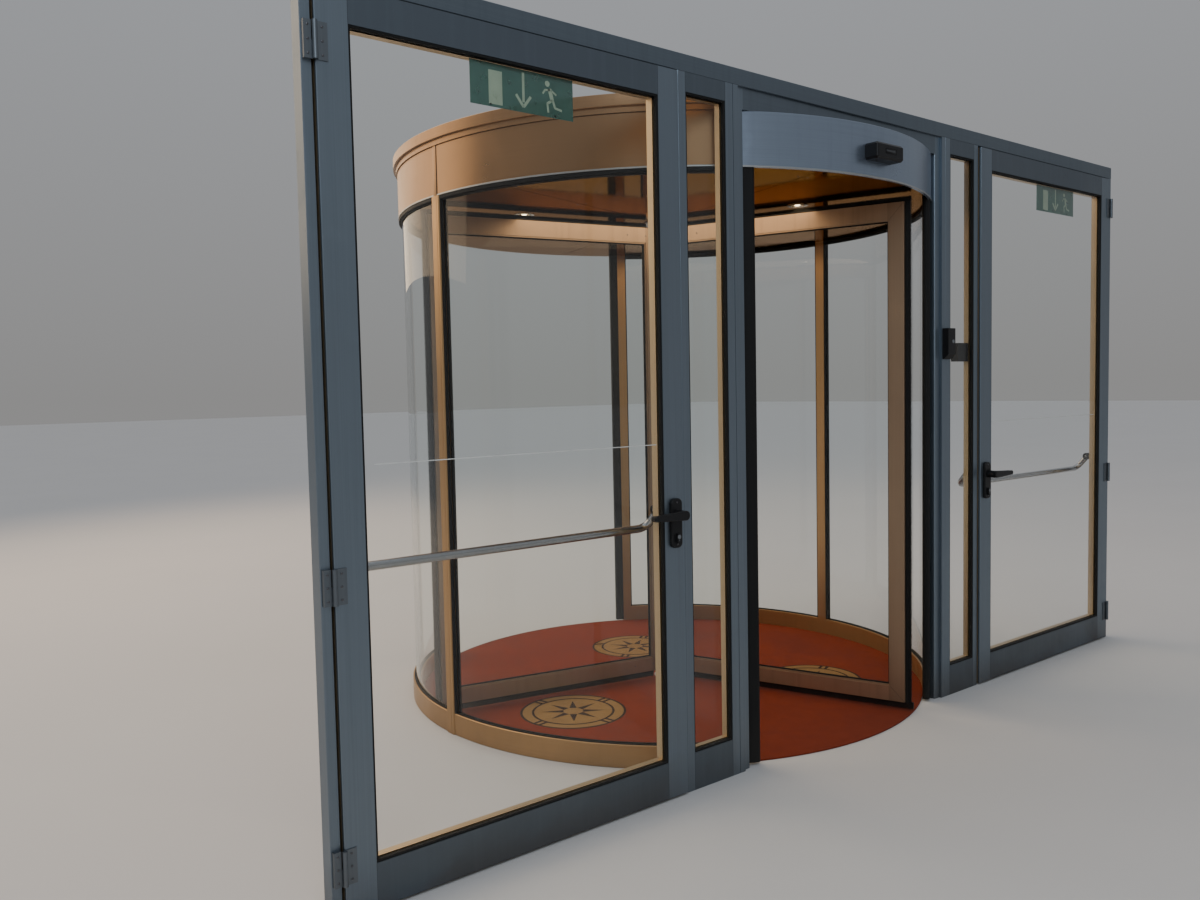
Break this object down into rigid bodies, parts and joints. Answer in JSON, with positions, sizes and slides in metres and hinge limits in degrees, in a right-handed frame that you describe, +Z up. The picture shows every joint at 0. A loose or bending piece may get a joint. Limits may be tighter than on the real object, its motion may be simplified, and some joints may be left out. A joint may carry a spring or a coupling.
{
  "type": "revolving door entrance",
  "caption": "Wide aluminium entrance front: a glazed drum with a turning winged door, narrow sidelights, and outward glass escape doors with levers and push bars.",
  "frame": {"origin": "on the floor, where the axis of the drum meets it", "axes": "+Z up, +Y from the street towards the lobby, +X to the right as seen from the street"},
  "size_m": [4.562, 2.604, 2.56],
  "materials": {
    "outer_aluminium": "satin anodised silver-grey with weathering marks",
    "drum_aluminium": "satin anodised silver",
    "canopy_aluminium": "satin coated silver-blue",
    "clear_glass": "clear safety glass",
    "black_rubber": "matt black rubber",
    "black_brush": "black bristle seal",
    "black_plastic": "satin black moulding",
    "carpet": "ribbed red entrance carpet",
    "trim_metal": "brushed edge trim",
    "ceiling_gloss": "high-gloss brown ceiling panel",
    "cover_sheet": "dust-grey painted sheet",
    "lamp": "satin light fitting with a warm lens",
    "steel": "brushed steel"
  },
  "bodies": {
    "surround": {"floor_mat": "carpet", "floor_trim": "trim_metal", "floor_bearing": "steel", "safety_edges": "black_rubber", "street_fascia": "canopy_aluminium", "lobby_fascia": "canopy_aluminium", "ceiling_panel": "ceiling_gloss", "canopy_cover": "cover_sheet", "downlights": "lamp", "ceiling_collar": "drum_aluminium", "lobby_cornice": "canopy_aluminium", "motion_sensors": "black_plastic", "head_beam": "outer_aluminium", "drum_head_panel": "outer_aluminium", "control_boxes": "black_plastic", "left_base_rail": "drum_aluminium", "left_head_channel": "black_plastic", "left_wall_posts": "drum_aluminium", "left_wall_glass": "clear_glass", "left_wall_gaskets": "black_rubber", "left_drum_post": "outer_aluminium", "left_jamb": "outer_aluminium", "left_door_stop": "outer_aluminium", "left_sidelight_frame": "outer_aluminium", "left_sidelight_glass": "clear_glass", "left_jamb_hinges": "steel", "right_base_rail": "drum_aluminium", "right_head_channel": "black_plastic", "right_wall_posts": "drum_aluminium", "right_wall_glass": "clear_glass", "right_wall_gaskets": "black_rubber", "right_drum_post": "outer_aluminium", "right_jamb": "outer_aluminium", "right_door_stop": "outer_aluminium", "right_sidelight_frame": "outer_aluminium", "right_sidelight_glass": "clear_glass", "right_jamb_hinges": "steel"},
    "rotor": {"centre_column": "drum_aluminium", "wing_brushes": "black_brush", "wing_1_frame": "drum_aluminium", "wing_1_glass": "clear_glass", "wing_2_frame": "drum_aluminium", "wing_2_glass": "clear_glass", "wing_3_frame": "drum_aluminium", "wing_3_glass": "clear_glass"},
    "left_door": {"left_door_frame": "outer_aluminium", "left_door_glass": "clear_glass", "left_door_hinges": "steel", "left_door_fittings": "black_plastic"},
    "left_lever": {"left_lever": "black_plastic"},
    "left_push_bar": {"left_push_bar": "steel"},
    "right_door": {"right_door_frame": "outer_aluminium", "right_door_glass": "clear_glass", "right_door_hinges": "steel", "right_door_fittings": "black_plastic"},
    "right_lever": {"right_lever": "black_plastic"},
    "right_push_bar": {"right_push_bar": "steel"}
  },
  "joints": [
    {"name": "rotor_turn", "type": "hinge", "parent": "surround", "child": "rotor", "pos_m": [0, 0, 0], "axis": [0, 0, 1], "continuous": true},
    {"name": "left_door_swing", "type": "hinge", "parent": "surround", "child": "left_door", "pos_m": [-2.24804, -1.131, 1.2], "axis": [0, 0, -1], "range_deg": [0, 90]},
    {"name": "left_lever_turn", "type": "hinge", "parent": "left_door", "child": "left_lever", "pos_m": [-1.00154, -1.1363, 0.995], "axis": [0, -1, 0], "range_deg": [0, 40], "stiffness_Nm_per_rad": 1.2, "springref_deg": -22.92},
    {"name": "left_bar_push", "type": "hinge", "parent": "left_door", "child": "left_push_bar", "pos_m": [-1.00154, -1.034, 1.005], "axis": [-1, 0, 0], "range_deg": [0, 16], "stiffness_Nm_per_rad": 8, "springref_deg": -28.65},
    {"name": "right_door_swing", "type": "hinge", "parent": "surround", "child": "right_door", "pos_m": [2.24804, -1.131, 1.2], "axis": [0, 0, 1], "range_deg": [0, 90]},
    {"name": "right_lever_turn", "type": "hinge", "parent": "right_door", "child": "right_lever", "pos_m": [1.00154, -1.1363, 0.995], "axis": [0, 1, 0], "range_deg": [0, 40], "stiffness_Nm_per_rad": 1.2, "springref_deg": -22.92},
    {"name": "right_bar_push", "type": "hinge", "parent": "right_door", "child": "right_push_bar", "pos_m": [1.00154, -1.034, 1.005], "axis": [-1, 0, 0], "range_deg": [0, 16], "stiffness_Nm_per_rad": 8, "springref_deg": -28.65}
  ]
}
